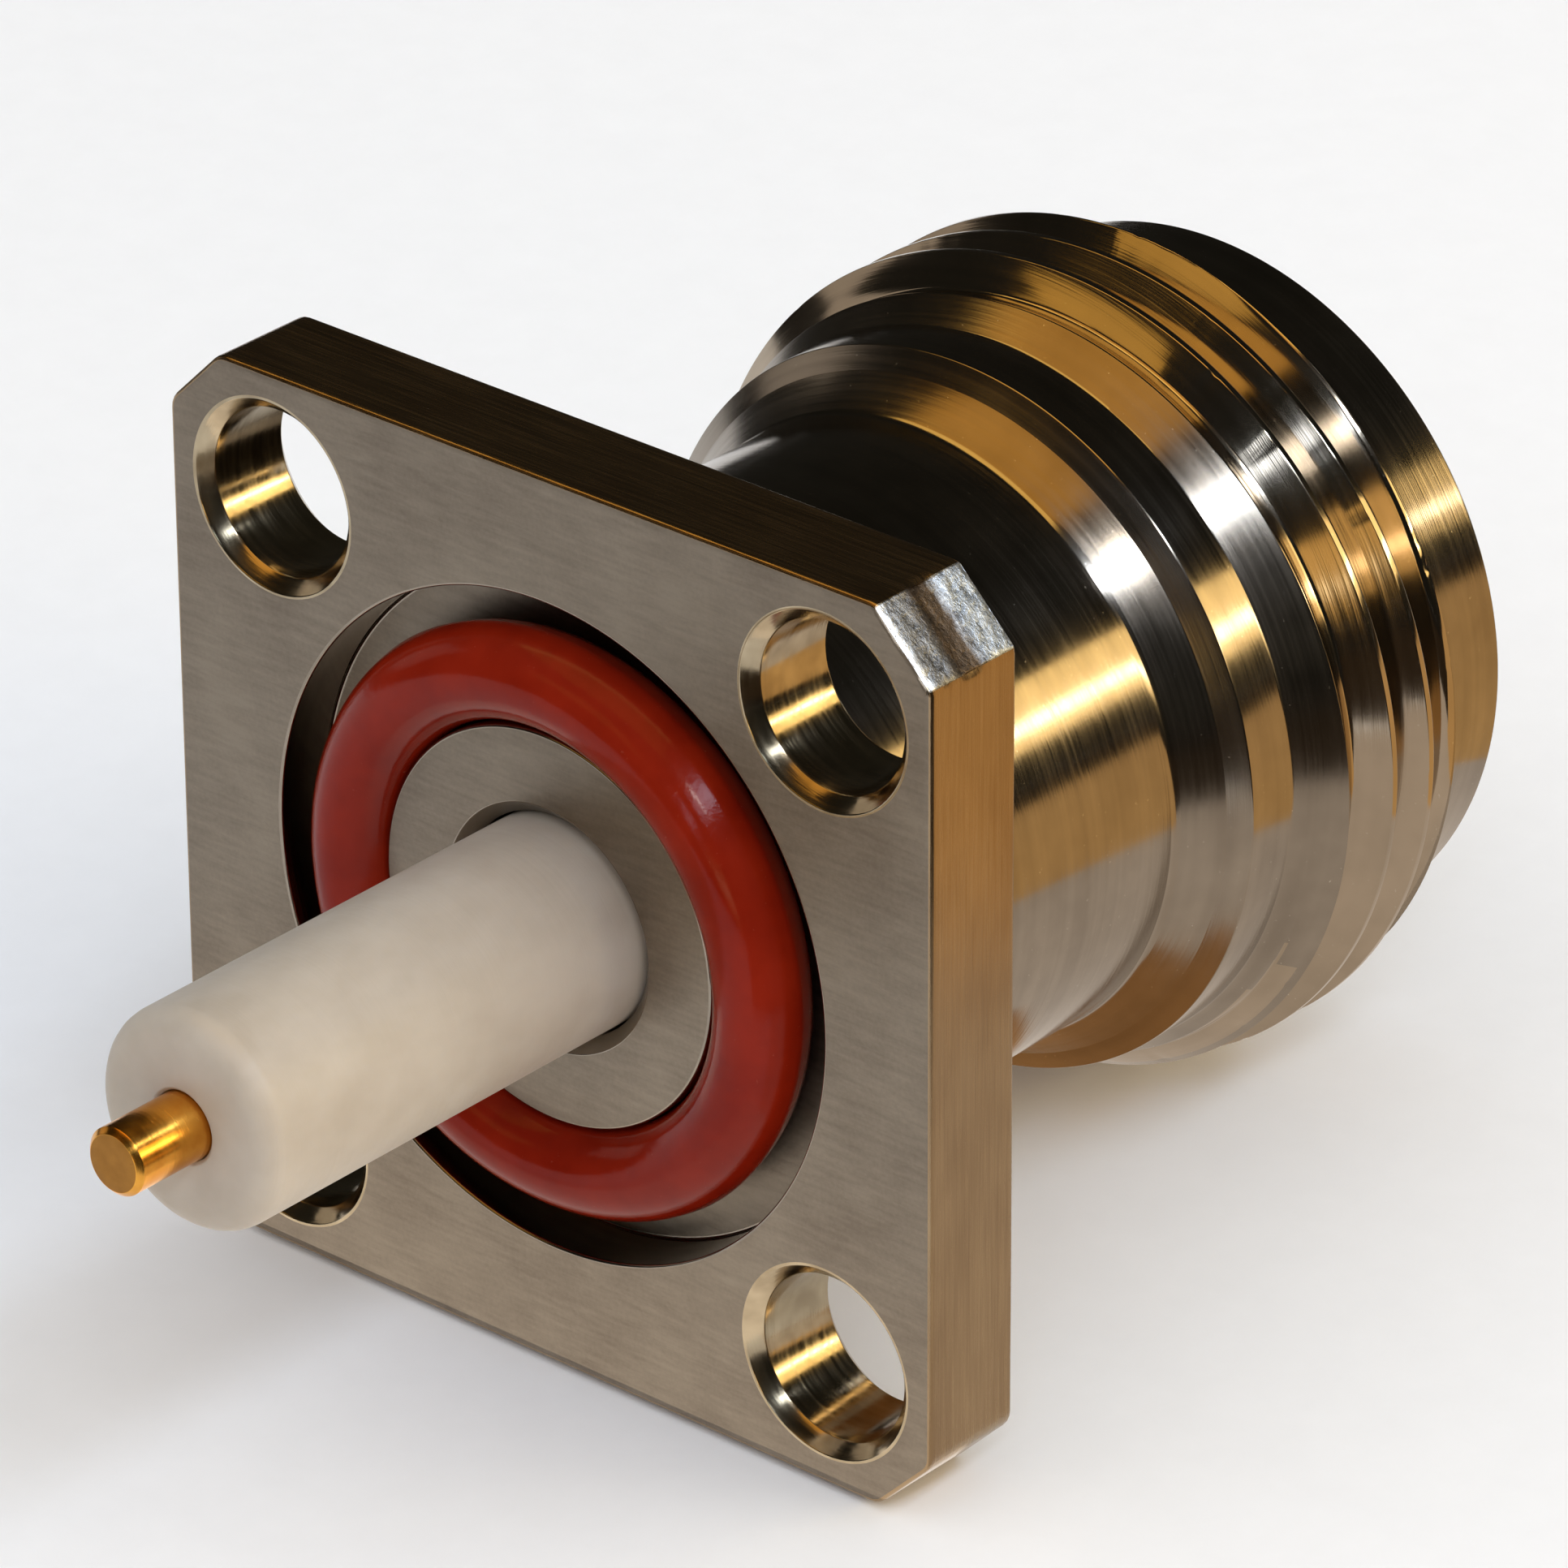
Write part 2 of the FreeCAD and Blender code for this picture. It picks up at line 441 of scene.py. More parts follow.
class Wire:
    """A socket in a material's tree of nodes. A sum of wires adds Math nodes."""

    def __init__(self, tree, socket=None):
        self.tree = tree
        self.socket = socket

    def node(self, kind, settings, inputs, output=0):
        """Adds a node of a kind: its settings first, then the values or wires of its inputs."""
        made = self.tree.nodes.new(kind)
        for name, value in settings.items():
            setattr(made, name, value)
        for name, value in inputs.items():
            if isinstance(value, Wire):
                self.tree.links.new(value.socket, made.inputs[name])
            else:
                made.inputs[name].default_value = value
        return Wire(self.tree, made.outputs[output])

    def math(self, operation, first, second):
        return self.node("ShaderNodeMath", {"operation": operation}, {0: first, 1: second})

    def __add__(self, other):
        return self.math("ADD", self, other)

    def __radd__(self, other):
        return self.math("ADD", other, self)

    def __sub__(self, other):
        return self.math("SUBTRACT", self, other)

    def __rsub__(self, other):
        return self.math("SUBTRACT", other, self)

    def __mul__(self, other):
        return self.math("MULTIPLY", self, other)

    def __rmul__(self, other):
        return self.math("MULTIPLY", other, self)

    def grain(self, place, per_mm, detail=2.0, roughness=0.5):
        """Noise from 0 to 1 over a place, with so many grains to the millimetre along x, y and z."""
        stretched = self.node("ShaderNodeVectorMath", {"operation": "MULTIPLY"},
                              {0: place, 1: [each / mm for each in per_mm]})
        return self.node("ShaderNodeTexNoise", {}, {"Vector": stretched, "Scale": 1.0, "Detail": detail,
                                                    "Roughness": roughness})

    def between(self, low, high, new_low=0.0, new_high=1.0):
        """Spreads the stretch between two values over two new ones, and holds it there."""
        return self.node("ShaderNodeMapRange", {"clamp": True},
                         {0: self, 1: low, 2: high, 3: new_low, 4: new_high})

    def blend(self, first, second):
        """Colour that goes from the first to the second as this wire goes from 0 to 1."""
        return self.node("ShaderNodeMix", {"data_type": "RGBA"}, {0: self, 6: first, 7: second}, output=2)

    def bump(self, distance, strength=1.0, normal=None):
        """Surface height from this wire, with its full range a distance deep."""
        inputs = {"Strength": strength, "Distance": distance, "Height": self}
        if normal:
            inputs["Normal"] = normal
        return self.node("ShaderNodeBump", {}, inputs)


def colour(red, green, blue):
    """Colour as seen on a screen, from 0 to 255, turned into light."""
    light = []
    for seen in (red / 255, green / 255, blue / 255):
        light.append(seen / 12.92 if seen <= 0.04045 else ((seen + 0.055) / 1.055) ** 2.4)
    return (*light, 1)


def finish(name, **settings):
    """A new material. Returns it, its start wire, its place wire and its shader, with plain sockets set."""
    material = bpy.data.materials.new(name)
    material.use_nodes = True
    tree = material.node_tree
    shader = tree.nodes["Principled BSDF"]
    for socket, value in settings.items():
        shader.inputs[socket.replace("_", " ")].default_value = value
    start = Wire(tree)
    place = start.node("ShaderNodeTexCoord", {}, {}, "Object")
    return material, start, place, shader


def dress(shader, **wires):
    """Feeds the shader's sockets from wires."""
    for socket, wire in wires.items():
        wire.tree.links.new(wire.socket, shader.inputs[socket.replace("_", " ")])


def satin_nickel():
    """The panel face: milled, then softened by the plating, with a faint grain along X and soft stains."""
    material, start, place, shader = finish("satin_nickel", Metallic=1.0)
    clouds = start.grain(place, (0.35, 0.35, 0.35), 3.0, 0.6)
    strokes = start.grain(place, (0.9, 1.0, 7.0), 3.0, 0.6)
    speckle = start.grain(place, (11, 11, 11), 2.0, 0.6)
    tone = clouds * 0.5 + strokes * 0.3 + speckle * 0.2
    dress(shader,
          Base_Color=tone.between(0.38, 0.62).blend(colour(122, 111, 98), colour(149, 138, 123)),
          Roughness=(clouds * 0.5 + speckle * 0.5).between(0.3, 0.7, 0.36, 0.5),
          Normal=speckle.bump(0.0016 * mm, 1.0, strokes.bump(0.004 * mm)))
    return material


def sawn_nickel():
    """The flange's edges: cut square with fine marks that run round the flange, a little warmer."""
    material, start, place, shader = finish("sawn_nickel", Metallic=1.0)
    clouds = start.grain(place, (0.5, 0.8, 0.5), 2.0)
    marks = start.grain(place, (0.35, 16, 0.35), 4.0, 0.7)
    tone = clouds * 0.4 + marks * 0.6
    dress(shader,
          Base_Color=tone.between(0.35, 0.65).blend(colour(146, 122, 94), colour(170, 146, 114)),
          Roughness=marks.between(0.3, 0.7, 0.2, 0.31),
          Normal=marks.bump(0.005 * mm))
    return material


def turned_nickel(name, dark, light, smooth, rough):
    """The turned surfaces: fine feed marks about the axis, soft stains and small bright nicks."""
    material, start, place, shader = finish(name, Metallic=1.0)
    clouds = start.grain(place, (0.5, 0.5, 0.5), 3.0, 0.6)
    feed = start.grain(place, (0.12, 14, 0.12), 3.0, 0.65)
    broad = start.grain(place, (0.05, 2.2, 0.05), 2.0, 0.6)
    dust = start.grain(place, (10, 10, 10), 2.0, 0.7).between(0.7, 0.78)
    tone = (clouds * 0.6 + broad * 0.4).between(0.36, 0.64)
    dress(shader,
          Base_Color=(dust * 0.5).blend(tone.blend(dark, light), colour(214, 208, 196)),
          Roughness=(feed * 0.6 + clouds * 0.4).between(0.3, 0.7, smooth, rough) + dust * 0.1,
          Normal=feed.bump(0.0022 * mm))
    return material


def bright_nickel():
    """The drilled holes: smooth walls with faint rings from the drill."""
    material, start, place, shader = finish("bright_nickel", Metallic=1.0)
    rings = start.grain(place, (0.6, 9, 0.6), 3.0, 0.6)
    clouds = start.grain(place, (1.5, 1.5, 1.5), 2.0)
    dress(shader,
          Base_Color=clouds.between(0.35, 0.65).blend(colour(160, 144, 118), colour(188, 172, 144)),
          Roughness=rings.between(0.3, 0.7, 0.1, 0.22),
          Normal=rings.bump(0.003 * mm))
    return material


def sheared_nickel():
    """The torn corner: coarse and cool grey, brown and dull along its trough."""
    material, start, place, shader = finish("sheared_nickel", Metallic=1.0)
    coarse = start.grain(place, (3, 5, 3), 4.0, 0.7)
    fine = start.grain(place, (14, 14, 14), 3.0, 0.7)
    up = start.node("ShaderNodeSeparateXYZ", {}, {0: place}, output=1) * (1 / flange_thick)
    wave = up + (coarse - 0.5) * 0.16
    trough = wave.between(0.26, 0.40) * wave.between(0.58, 0.70, 1.0, 0.0)
    tone = (coarse * 0.5 + fine * 0.5).between(0.36, 0.64)
    front = tone.blend(colour(84, 82, 80), colour(160, 160, 160))
    back = tone.blend(colour(116, 120, 124), colour(206, 212, 218))
    bare = wave.between(0.45, 0.6).blend(front, back)
    scarred = trough.blend(bare, tone.blend(colour(64, 53, 42), colour(98, 83, 68)))
    burr = (up + (coarse - 0.5) * 0.08).between(0.03, 0.08, 1.0, 0.0)
    dress(shader,
          Base_Color=burr.blend(scarred, colour(236, 238, 240)),
          Roughness=coarse.between(0.3, 0.7, 0.34, 0.5),
          Normal=fine.bump(0.008 * mm, 1.0, coarse.bump(0.03 * mm)))
    return material


shell_piece = shell.piece(
    "shell",
    [satin_nickel(), sawn_nickel(),
     turned_nickel("turned_nickel", colour(140, 129, 116), colour(162, 151, 137), 0.09, 0.19),
     turned_nickel("sloped_nickel", colour(140, 130, 118), colour(162, 152, 139), 0.14, 0.25),
     # The thread's nickel is a lighter copy of the turned nickel: painted light over the whole thread.
     turned_nickel("thread_nickel_painted_light", colour(162, 148, 130), colour(180, 165, 146), 0.07, 0.15),
     bright_nickel(), sheared_nickel()],
    flats=((0, SATIN), (flange_thick, SATIN)),
)
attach(shell_piece, "root")
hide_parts("shell_body")


# Centre contact
# Turned from copper alloy rod and gold plated, with a solder pin at the back and a socket in front.
# Four slots split the socket into springs, and a small barb on its shank bites into the insulator.

low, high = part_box("centre_contact")
pin_radius = 0.635 * mm
pin_tip = low.y
pin_edge = 0.1 * mm
shank_radius = 1.2 * mm
shank_start = 3.9 * mm
barb_radius = 1.4 * mm
barb_start = 4.5 * mm
barb_end = 5.0 * mm
socket_radius = 1.52 * mm
socket_start = 5.8 * mm
socket_tip = high.y
socket_edge = 0.25 * mm
socket_bore = 0.825 * mm
socket_bore_end = 9.2 * mm
socket_mouth = 0.15 * mm
drill_point = 0.35 * mm
slot_half = 0.125 * mm
slot_end = 10.0 * mm
slot_tool_half = 3 * mm
slot_tool_over = 1 * mm
sharp_angle = math.radians(40)
fine_edge = 0.02 * mm
contact_sides = 96

contact = Blank()
contact_path = rounded([
    (pin_radius * 0.5, pin_tip, 0),
    (pin_radius - pin_edge, pin_tip, fine_edge),
    (pin_radius, pin_tip + pin_edge, fine_edge),
    (pin_radius, shank_start, fine_edge),
    (shank_radius, shank_start, fine_edge),
    (shank_radius, barb_start, fine_edge),
    (barb_radius, barb_start, fine_edge),
    (barb_radius, barb_end, fine_edge),
    (shank_radius, barb_end, fine_edge),
    (shank_radius, socket_start, fine_edge),
    (socket_radius, socket_start, fine_edge),
    (socket_radius, socket_tip - socket_edge, fine_edge),
    (socket_radius - socket_edge, socket_tip, fine_edge),
    (socket_bore + socket_mouth, socket_tip, fine_edge),
    (socket_bore, socket_tip - socket_mouth, fine_edge),
    (socket_bore, socket_bore_end, 0),
])
contact_start = contact.row(circle(contact_path[0][0], pin_tip, contact_sides))
# The pin's flat end face takes the second, darker gold: painted shade.
contact.cap(contact_start, (0, pin_tip, 0), 1)
pin_rim = turned(contact, contact_path[1:2], contact_sides, 1, contact_start)
contact_floor = turned(contact, contact_path[2:], contact_sides, 0, pin_rim)
contact.cap(contact_floor, (0, socket_bore_end - drill_point, 0), 0)


def gold_plate(name, dark, light):
    """Gold over nickel, with faint rings from turning and a slightly duller bloom in places."""
    material, start, place, shader = finish(name, Metallic=1.0)
    rings = start.grain(place, (0.3, 18, 0.3), 3.0, 0.6)
    bloom = start.grain(place, (1.6, 1.6, 1.6), 3.0, 0.6)
    dress(shader,
          Base_Color=bloom.between(0.35, 0.65).blend(dark, light),
          Roughness=(rings * 0.5 + bloom * 0.5).between(0.3, 0.7, 0.16, 0.3),
          Normal=rings.bump(0.002 * mm))
    return material


contact_piece = contact.piece("contact", [
    gold_plate("gold_plate", colour(216, 146, 56), colour(236, 170, 72)),
    # A darker copy of the gold plate for the pin's end face: painted shade.
    gold_plate("pin_end_painted_shade", colour(140, 96, 42), colour(162, 113, 51)),
])
contact_piece.modifiers.clear()
slot_middle = (slot_end + socket_tip + slot_tool_over) / 2
slot_tools = []
for half_x, half_z in ((slot_tool_half, slot_half), (slot_half, slot_tool_half)):
    tool_mesh = bpy.data.meshes.new("slot_tool")
    tool = bmesh.new()
    bmesh.ops.create_cube(tool, size=2.0)
    tool.transform(Matrix.Translation((0, slot_middle, 0))
                   @ Matrix.Diagonal((half_x, slot_middle - slot_end, half_z, 1)))
    tool.to_mesh(tool_mesh)
    tool.free()
    slot_tool = bpy.data.objects.new("slot_tool", tool_mesh)
    bpy.context.scene.collection.objects.link(slot_tool)
    slot_tools.append(slot_tool)
    cut = contact_piece.modifiers.new("slot", "BOOLEAN")
    cut.operation = "DIFFERENCE"
    cut.solver = "EXACT"
    cut.object = slot_tool
graph = bpy.context.evaluated_depsgraph_get()
slotted = bpy.data.meshes.new_from_object(contact_piece.evaluated_get(graph), depsgraph=graph)
contact_piece.modifiers.clear()
contact_piece.data = slotted
for slot_tool in slot_tools:
    bpy.data.objects.remove(slot_tool)
slotted.set_sharp_from_angle(angle=sharp_angle)
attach(contact_piece, "root")
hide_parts("centre_contact")


# Dielectric insulator
# Turned from white fluoropolymer rod. Its head fits the shell's bore and holds the centre contact.
# The long rod behind the flange carries the pin through the panel, and its end is rounded over.

low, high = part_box("dielectric_insulator")
rod_radius = 2.065 * mm
rod_end = low.y
rod_round = 0.5 * mm
head_radius = high.x
head_front = high.y
pin_fit = 0.02 * mm
pin_dimple = 0.06 * mm
seat_gap = 0.01 * mm
rod_wave = 0.006 * mm
rod_wave_length = 1.6 * mm
rod_sides = 160

insulator = Blank()
insulator_path = rounded([
    (pin_radius + pin_fit, shank_start - pin_fit, 0),
    (pin_radius + pin_fit, rod_end + pin_dimple, 0.03 * mm),
    (pin_radius + pin_fit + pin_dimple, rod_end, 0.05 * mm),
    (rod_radius, rod_end, rod_round),
    (rod_radius, web_end + seat_gap, 0.05 * mm),
    (head_radius - seat_gap, web_end + seat_gap, 0.1 * mm),
    (head_radius - seat_gap, head_front - seat_gap, 0.1 * mm),
    (shank_radius + pin_fit, head_front - seat_gap, 0.04 * mm),
    (shank_radius + pin_fit, barb_end + pin_fit, 0),
    (barb_radius + pin_fit, barb_end + pin_fit, 0),
    (barb_radius + pin_fit, barb_start - pin_fit, 0),
    (shank_radius + pin_fit, barb_start - pin_fit, 0),
    (shank_radius + pin_fit, shank_start - pin_fit, 0),
], closed=True)
turned(insulator, insulator_path + insulator_path[:1], rod_sides, 0)
for i, (x, y, z) in enumerate(insulator.points):
    if y < 0 and math.hypot(x, z) > pin_radius * 1.5:
        wave = noise.noise(Vector((x, y * 0.4, z)) / rod_wave_length) * rod_wave
        scale = 1 - abs(wave) / rod_radius
        insulator.points[i] = (x * scale, y, z * scale)


def white_insulator():
    """Waxy white plastic that lets light in a little, with faint turning rings and cloudy patches."""
    material, start, place, shader = finish(
        "white_insulator", Subsurface_Weight=0.35, Subsurface_Radius=(1.0, 0.8, 0.6),
        Subsurface_Scale=0.9 * mm, Specular_IOR_Level=0.45)
    rings = start.grain(place, (0.25, 9, 0.25), 3.0, 0.6)
    clouds = start.grain(place, (0.7, 0.5, 0.7), 3.0, 0.6)
    specks = start.grain(place, (4, 4, 4), 2.0, 0.7).between(0.7, 0.78)
    white = clouds.between(0.35, 0.65).blend(colour(175, 163, 147), colour(185, 174, 159))
    dress(shader,
          Base_Color=(specks * 0.35).blend(white, colour(176, 164, 148)),
          Roughness=(rings * 0.5 + clouds * 0.5).between(0.3, 0.7, 0.42, 0.6),
          Normal=clouds.bump(0.02 * mm, 1.0, rings.bump(0.004 * mm)))
    return material


insulator_piece = insulator.piece("insulator", [white_insulator()])
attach(insulator_piece, "root")
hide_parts("dielectric_insulator")


# Retaining bush
# A plain nickel-plated ring, pressed down the bore until it holds the insulator's head on the web.
# Its front end is the plane that the plug's outer contact is drawn against.

low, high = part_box("retaining_bush")
bush_outer = high.x - seat_gap
bush_inner = 3.5 * mm
bush_back = low.y
bush_front = high.y
bush_edge = 0.12 * mm

bush = Blank()
bush_path = rounded([
    (bush_outer, bush_back, bush_edge),
    (bush_inner, bush_back, bush_edge),
    (bush_inner, bush_front, bush_edge),
    (bush_outer, bush_front, bush_edge),
], closed=True)
turned(bush, bush_path + bush_path[:1], rod_sides, 0)
bush_piece = bush.piece("bush", [shell_piece.data.materials[TURNED]])
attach(bush_piece, "root")
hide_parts("retaining_bush")


# O-ring
# Red silicone, moulded in two halves, so a hair-thin parting line runs round its inside and outside.
# It lies loose on the groove's floor around the land and stands out of the panel face.

low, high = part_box("oring_seal")
cord_radius = (high.y - low.y) / 2
oring_radius = high.x - cord_radius
oring_middle = (high.y + low.y) / 2
parting_ridge = 0.02 * mm
ridge_width = math.radians(5)
lump_height = 0.012 * mm
lumps_round = 1.7
oring_sides = 256
cord_sides = 72

oring = Blank()
previous = None
for k in range(cord_sides + 1):
    around = math.tau * k / cord_sides
    from_equator = math.remainder(around, math.pi)
    ridge = parting_ridge * math.exp(-(from_equator / ridge_width) ** 2)
    ring = []
    for j in range(oring_sides):
        turn = math.tau * j / oring_sides
        lumps = noise.noise(Vector((math.cos(turn), math.sin(turn), 0.3)) * lumps_round) * lump_height
        cord = cord_radius - parting_ridge + ridge + lumps * 0.5
        radius = oring_radius + cord * math.cos(around) + lumps
        height = oring_middle + cord * math.sin(around)
        ring.append((radius * math.cos(turn), height, radius * math.sin(turn)))
    following = oring.row(ring)
    if previous:
        oring.join(previous, following, 0)
    previous = following


def red_silicone():
    """Dull brick-red rubber with a faint bloom, fine dust and a soft sheen."""
    material, start, place, shader = finish(
        "red_silicone", Subsurface_Weight=0.12, Subsurface_Radius=(1.0, 0.25, 0.15),
        Subsurface_Scale=0.4 * mm, Specular_IOR_Level=0.14)
    clouds = start.grain(place, (0.6, 0.6, 0.6), 3.0, 0.6)
    dust = start.grain(place, (9, 9, 9), 2.0, 0.7).between(0.7, 0.78)
    skin = start.grain(place, (6, 6, 6), 3.0, 0.6)
    red = clouds.between(0.35, 0.65).blend(colour(118, 23, 7), colour(134, 30, 10))
    dress(shader,
          Base_Color=(dust * 0.2).blend(red, colour(176, 110, 90)),
          Roughness=clouds.between(0.3, 0.7, 0.11, 0.17),
          Normal=skin.bump(0.004 * mm))
    return material


oring_piece = oring.piece("oring", [red_silicone()])
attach(oring_piece, "root")
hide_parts("oring_seal")


# Table
# A plain, pale board that runs far past the picture. The socket lies on it with the flange's lower
# edge and the end of the thread, so it is tilted to meet both.

table_rise = (flange_half - crest_radius) / (thread_end - flange_thick)
table_tilt = math.atan(table_rise)
table_reach = 2.0
table_mesh = bpy.data.meshes.new("table")
table_corners = [(-table_reach, -table_reach, 0), (table_reach, -table_reach, 0),
                 (table_reach, table_reach, 0), (-table_reach, table_reach, 0)]
table_mesh.from_pydata(table_corners, [], [(0, 1, 2, 3)])
table = bpy.data.objects.new("table", table_mesh)
bpy.context.scene.collection.objects.link(table)
table.rotation_euler = Euler((table_tilt, 0, 0))
table.location = (0, flange_thick, -flange_half)


def pale_table():
    """Smooth matt board, almost white, with a barely seen fibre."""
    material, start, place, shader = finish("pale_table", Roughness=0.9, Specular_IOR_Level=0.2)
    fibre = start.grain(place, (0.8, 0.8, 0.8), 3.0, 0.6)
    dress(shader, Base_Color=fibre.between(0.3, 0.7).blend(colour(245, 244, 243), colour(247, 246, 245)))
    return material


table_mesh.materials.append(pale_table())


# Camera
# A long lens on a stand looks at the flange's panel face from the right and from above.

camera_turn = math.radians(40.98)
camera_rise = math.radians(27.61)
camera_roll = math.radians(-0.31)
camera_distance = 183.04 * mm
camera_right = 4.13 * mm
camera_up = 2.52 * mm
camera_lens = 241.24
sensor_width = 36
level = Vector((math.cos(camera_turn), math.sin(camera_turn), 0))
backward = Vector((math.sin(camera_turn) * math.cos(camera_rise),
                   -math.cos(camera_turn) * math.cos(camera_rise), math.sin(camera_rise)))
steep = backward.cross(level)
right = level * math.cos(camera_roll) + steep * math.sin(camera_roll)
up = steep * math.cos(camera_roll) - level * math.sin(camera_roll)
camera = bpy.data.objects.new("camera", bpy.data.cameras.new("camera"))
camera.data.sensor_width = sensor_width
camera.data.lens = camera_lens
camera.data.clip_start = 10 * mm
camera.data.clip_end = 10
camera.matrix_world = Matrix.Translation(
    backward * camera_distance + right * camera_right + up * camera_up
) @ Matrix((right, up, backward)).transposed().to_4x4()
bpy.context.scene.collection.objects.link(camera)
bpy.context.scene.camera = camera


# Lamps and cards
# White lamps hang in a row above the right of the socket, warm ones stand behind it, and two soft ones
# light what is matt. The bright metal mirrors the rows, the table and a few cards in a dark studio.


def aimed(place, target):
    """Places a lamp or card so that it faces a target, with its length along the axis."""
    away = (Vector(place) - Vector(target)).normalized()
    across = Vector((0, 1, 0)).cross(away).normalized()
    along = away.cross(across)
    return Matrix.Translation(place) @ Matrix((across, along, away)).transposed().to_4x4()


def beside(angle, reach, start, end):
    """Place and target of a strip that runs beside the axis, at an angle from +X towards +Z."""
    turn = math.radians(angle)
    middle = (start + end) / 2
    return (reach * math.cos(turn), middle, reach * math.sin(turn)), (0, middle, 0)


def lamp(name, place, target, size, radiance, shade, mirrored=True, lighting=True):
    """A rectangular lamp of a given size and radiance. Some light nothing matt, and some aren't mirrored."""
    light = bpy.data.lights.new(name, "AREA")
    light.shape = "RECTANGLE"
    light.size, light.size_y = size
    light.energy = radiance * math.pi * size[0] * size[1]
    light.color = shade[:3]
    holder = bpy.data.objects.new(name, light)
    holder.matrix_world = aimed(place, target)
    holder.visible_glossy = mirrored
    holder.visible_diffuse = lighting
    bpy.context.scene.collection.objects.link(holder)


def glow(name, radiance, shade):
    """A material that gives out plain light."""
    material = bpy.data.materials.new(name)
    material.use_nodes = True
    shader = material.node_tree.nodes["Principled BSDF"]
    shader.inputs["Base Color"].default_value = (0, 0, 0, 1)
    shader.inputs["Specular IOR Level"].default_value = 0
    shader.inputs["Emission Color"].default_value = shade
    shader.inputs["Emission Strength"].default_value = radiance
    return material


def card(name, points, faces, radiance, shade, matrix=Matrix()):
    """A glowing sheet that is part of the studio and that only mirrored rays see."""
    mesh = bpy.data.meshes.new(name)
    mesh.from_pydata(points, [], faces)
    mesh.materials.append(glow(name, radiance, shade))
    made = bpy.data.objects.new(name, mesh)
    made.matrix_world = matrix
    bpy.context.scene.collection.objects.link(made)
    made.visible_camera = False
    made.visible_diffuse = False
    made.visible_shadow = False
    made.visible_transmission = False


card_reach = 0.42


def overhead(corners):
    """A sheet whose corners are given as an angle from +X towards +Z and a lean along the axis."""
    points = []
    for angle, lean in corners:
        turn = math.radians(angle)
        reach = math.sqrt(1 - lean * lean)
        points.append(Vector((math.cos(turn) * reach, lean, math.sin(turn) * reach)) * card_reach)
    return points, [tuple(range(len(points)))]


def bent(angles, near, far):
    """A bent sheet overhead: at each angle it runs from a near lean to a far one."""
    points = overhead(list(zip(angles, near)) + list(zip(angles, far)))[0]
    count = len(angles)
    return points, [(k, k + 1, count + k + 1, count + k) for k in range(count - 1)]


card_lift = 0.3 * mm
sector_parts = 24


def sector(first, last, near, far):
    """A sheet lying on the table: from one turn about the socket to another, between two distances."""
    count = sector_parts + 1
    turns = [math.radians(first + (last - first) * k / sector_parts) for k in range(count)]
    points = [(reach * math.cos(a), reach * math.sin(a), card_lift) for reach in (near, far) for a in turns]
    return points, [(k, k + 1, count + k + 1, count + k) for k in range(sector_parts)]


# White lamps above the right side, brighter towards their middle, and a small one that makes glints
lamp("white_strip", *beside(52, 0.387, -0.47, 0.20), (0.056, 0.67), 7.5, colour(218, 234, 255))
lamp("white_middle", *beside(52, 0.383, -0.27, 0.0), (0.05, 0.27), 7.0, colour(222, 236, 255),
     lighting=False)
lamp("white_core", *beside(52, 0.38, 0.02, 0.22), (0.026, 0.20), 15.0, colour(225, 238, 255),
     lighting=False)
lamp("white_spot", (0.19, -0.217, 0.26), (0, 0, 0), (0.03, 0.04), 40.0, colour(255, 246, 232),
     lighting=False)

# Warm lamps behind the right side, one in front of the other, and soft ones for all that is matt
lamp("warm_glow", *beside(25, 0.40, 0.0, 0.52), (0.155, 0.52), 3.0, colour(255, 222, 150))
lamp("warm_core", *beside(21.5, 0.384, 0.0, 0.52), (0.026, 0.52), 9.0, colour(255, 240, 205))
lamp("soft_top", (-0.21, -0.27, 0.48), (0, 0, 0), (0.6, 0.6), 0.42, colour(255, 252, 248), mirrored=False)
lamp("warm_fill", (0.36, -0.26, 0.04), (0, -0.006, 0), (0.3, 0.3), 1.0, colour(255, 205, 150),
     mirrored=False)

# The warm ceiling: brown over the flange, a brighter stripe in it, and gold over the thread. A grey wall
# stands at the left
card("warm_ceiling", *overhead([(73, -0.62), (117, -0.55), (131, -0.1), (73, -0.1)]), 1.0,
     colour(255, 188, 89))
card("warm_ceiling_stripe", *overhead([(99, -0.6), (105, -0.58), (106, -0.1), (98, -0.1)]), 1.9,
     colour(255, 198, 93))
card("gold_ceiling", *overhead([(72, -0.1), (132, -0.1), (134, 0.04), (104, 0.27), (72, 0.36)]), 1.9,
     colour(255, 208, 112))
card("grey_wall", *overhead([(155, -0.35), (158, -0.03), (177, -0.03), (177, -0.35)]), 0.55,
     colour(255, 242, 226))

# Narrow cards far behind the flange, which the thread's flanks mirror beside what they mirror twice
card("gold_flank", *bent((108, 118, 127, 135, 142), (-0.95, -0.93, -0.90, -0.86, -0.82),
                         (-0.83, -0.79, -0.74, -0.69, -0.64)), 0.9, colour(255, 200, 100))
card("white_flank", *bent((56, 60, 64), (-0.99,) * 3, (-0.90,) * 3), 7.0, colour(218, 234, 255))
card("warm_flank", *bent((-12, 0, 12, 25), (-0.99,) * 4, (-0.89,) * 4), 1.3, colour(255, 205, 120))
card("warm_flank_core", *bent((1, 8), (-0.985,) * 2, (-0.90,) * 2), 4.0, colour(255, 235, 190),
     Matrix.Scale(0.98, 4))

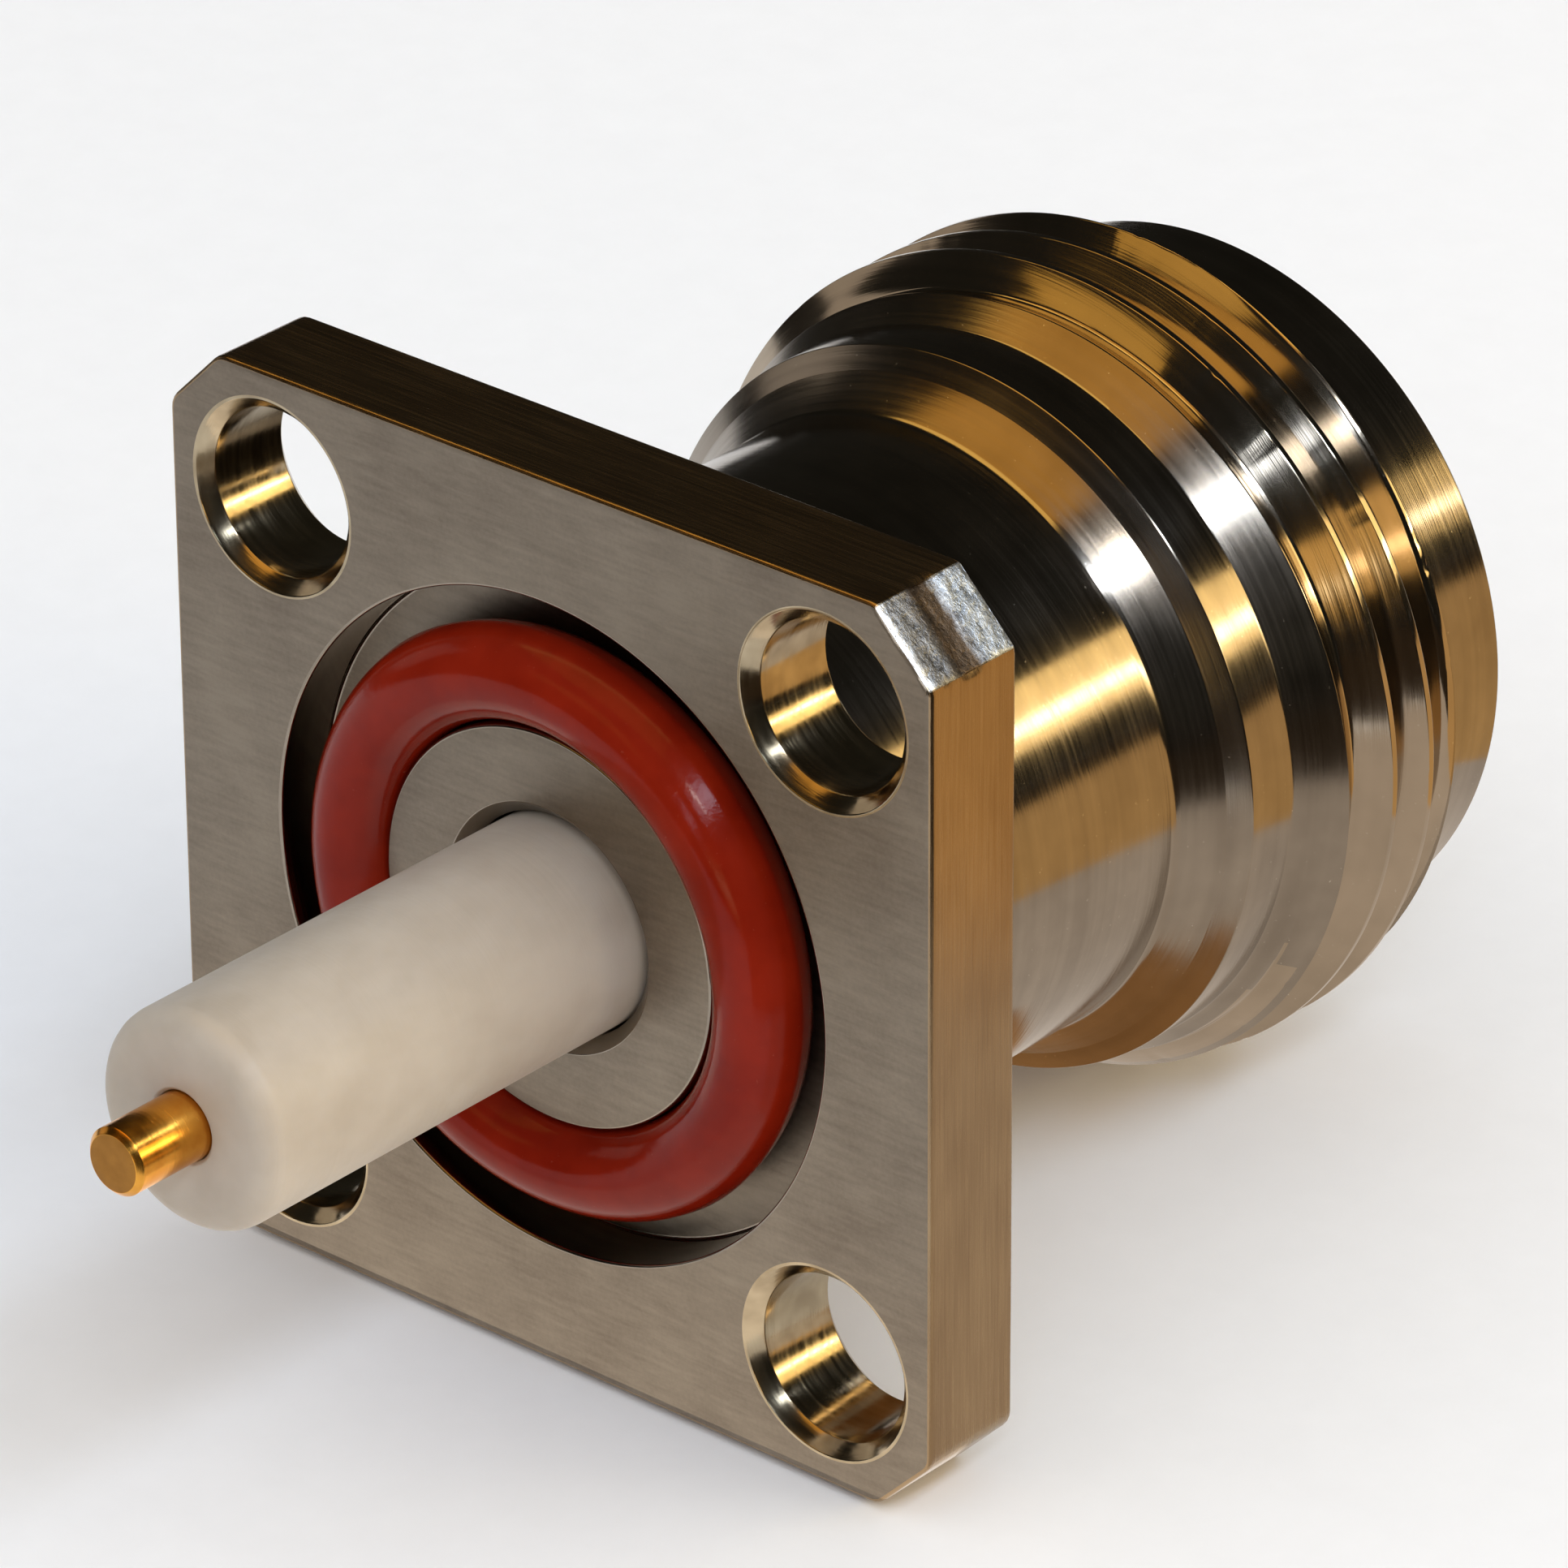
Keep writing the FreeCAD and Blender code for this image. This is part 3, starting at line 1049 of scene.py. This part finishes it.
# A dim room all round, and a soft card in front of the mating end
far_front = [(-0.35, 1.2, 0.05), (0.15, 1.2, 0.05), (0.15, 1.2, 0.45), (-0.35, 1.2, 0.45)]
card("far_front", far_front, [(0, 1, 2, 3)], 0.6, colour(255, 244, 228))
room_radius = 3.0
room_sides = 24
room_rises = [math.radians(15 * k) for k in range(-5, 6)]
room_points = []
for rise in room_rises:
    reach = room_radius * math.cos(rise)
    for j in range(room_sides):
        turn = math.tau * j / room_sides
        room_points.append((reach * math.cos(turn), reach * math.sin(turn), room_radius * math.sin(rise)))
top_row = len(room_points) - room_sides
floor_point = len(room_points)
room_points += [(0, 0, -room_radius), (0, 0, room_radius)]
room_faces = []
for first in range(0, top_row, room_sides):
    for j in range(room_sides):
        here, ahead = first + j, first + (j + 1) % room_sides
        room_faces.append((here, ahead, ahead + room_sides, here + room_sides))
for first, end in ((0, floor_point), (top_row, floor_point + 1)):
    room_faces += [(first + j, first + (j + 1) % room_sides, end) for j in range(room_sides)]
card("dim_room", room_points, room_faces, 0.018, colour(255, 252, 232))

# Sheets on the table that only the metal mirrors, painted reflections of the table: dark far away and nearer
# at the right front, brown behind at the right, brighter at the panel's foot, and brown as painted shade
# under the neck
table_place = Matrix.Translation(table.location) @ table.rotation_euler.to_matrix().to_4x4()
card("far_table", *sector(0, 360, 120 * mm, 1.9), 0.02, colour(255, 240, 220), table_place)
card("right_table", *sector(-62, 20, 27 * mm, 120 * mm), 0.04, colour(255, 215, 170), table_place)
card("near_table", *sector(-30, 110, 9.5 * mm, 27 * mm), 0.72, colour(255, 241, 226),
     table_place @ Matrix.Translation((0, 0, -0.1 * mm)))
foot_corners = [(-16, -9), (9, -9), (9, -0.4), (-16, -0.4)]
foot_points = [(x * mm, y * mm, card_lift) for x, y in foot_corners]
card("panel_foot", foot_points, [(0, 1, 2, 3)], 1.2, colour(255, 247, 238), table_place)
card("warm_table", *sector(20, 70, 24 * mm, 120 * mm), 0.85, colour(255, 207, 138), table_place)
# The brown sheet under the neck is painted shade in what the metal mirrors.
shade_corners = [(-2, 4.3), (9.5, 4.3), (9.5, 5.4), (6.4, 9.2), (-2, 9.2)]
shade_points = [(x * mm, y * mm, card_lift) for x, y in shade_corners]
card("shaded_table", shade_points, [(0, 1, 2, 3, 4)], 0.45, colour(255, 188, 118), table_place)

world = bpy.data.worlds.new("room")
world.use_nodes = True
world.cycles_visibility.glossy = False
bpy.context.scene.world = world
room_light = world.node_tree.nodes["Background"]
room_light.inputs["Color"].default_value = colour(235, 238, 243)
room_light.inputs["Strength"].default_value = 0.7

bpy.context.scene.view_settings.view_transform = "Standard"
